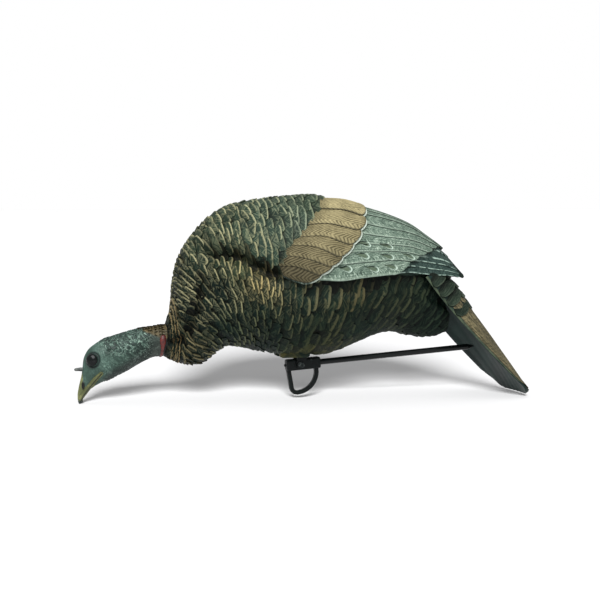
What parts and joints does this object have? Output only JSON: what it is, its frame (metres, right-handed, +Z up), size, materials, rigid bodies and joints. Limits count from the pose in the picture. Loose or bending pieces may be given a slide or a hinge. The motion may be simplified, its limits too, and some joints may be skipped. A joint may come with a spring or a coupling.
{
  "type": "turkey decoy",
  "caption": "Feeding hen turkey decoy with a moulded feathered body, folded wings, a sloping tail fan, a lowered turning head and a folding ground stake with a foot loop.",
  "frame": {"origin": "bottom centre of the part's box, on the ground under the belly", "axes": "+Z up, +X from head to tail, -Y to the bird's left side"},
  "size_m": [0.6202, 0.1914, 0.2701],
  "materials": {
    "feathered_body": "matte, dry-brushed",
    "wing_skin": "matte, dry-brushed",
    "tail_skin": "matte, dry-brushed",
    "head_skin": "matte",
    "snood_skin": "matte",
    "red_skin": "satin",
    "eye_gloss": "gloss",
    "black_plastic": "satin",
    "black_rod": "semi-gloss black",
    "steel": "zinc-plated"
  },
  "bodies": {
    "decoy_body": {"body_shell": "feathered_body", "wing_left": "wing_skin", "wing_right": "wing_skin", "tail_fan": "tail_skin", "tail_screw_left": "steel", "tail_screw_right": "steel", "neck_socket": "black_plastic", "stake_bracket": "black_plastic", "bracket_screw_1": "steel", "bracket_screw_2": "steel", "bracket_screw_3": "steel", "bracket_screw_4": "steel", "bracket_nut_1": "steel", "bracket_nut_2": "steel", "bracket_nut_3": "steel", "bracket_nut_4": "steel", "fold_pin": "steel", "fold_clip": "steel"},
    "head": {"head_shell": "head_skin", "eye_left": "eye_gloss", "eye_right": "eye_gloss", "snood": "snood_skin", "neck_ring": "red_skin", "neck_plug": "black_plastic", "neck_bolt": "steel", "neck_washer": "steel", "neck_nut": "steel"},
    "step": {"step_handle": "black_plastic", "rod_pin": "steel"},
    "rod": {"stake_rod": "black_rod"}
  },
  "joints": [
    {"name": "head_turn", "type": "hinge", "parent": "decoy_body", "child": "head", "pos_m": [-0.18824, 0, 0.082], "axis": [-1, 0, -0.0087], "range_deg": [-25, 25]},
    {"name": "stake_fold", "type": "hinge", "parent": "decoy_body", "child": "step", "pos_m": [-0.00485, 0, 0.047], "axis": [0, 1, 0], "range_deg": [0, 90]},
    {"name": "stake_spin", "type": "hinge", "parent": "step", "child": "rod", "pos_m": [-0.00485, 0, 0.047], "axis": [0.9966, 0, 0.0819], "continuous": true}
  ]
}
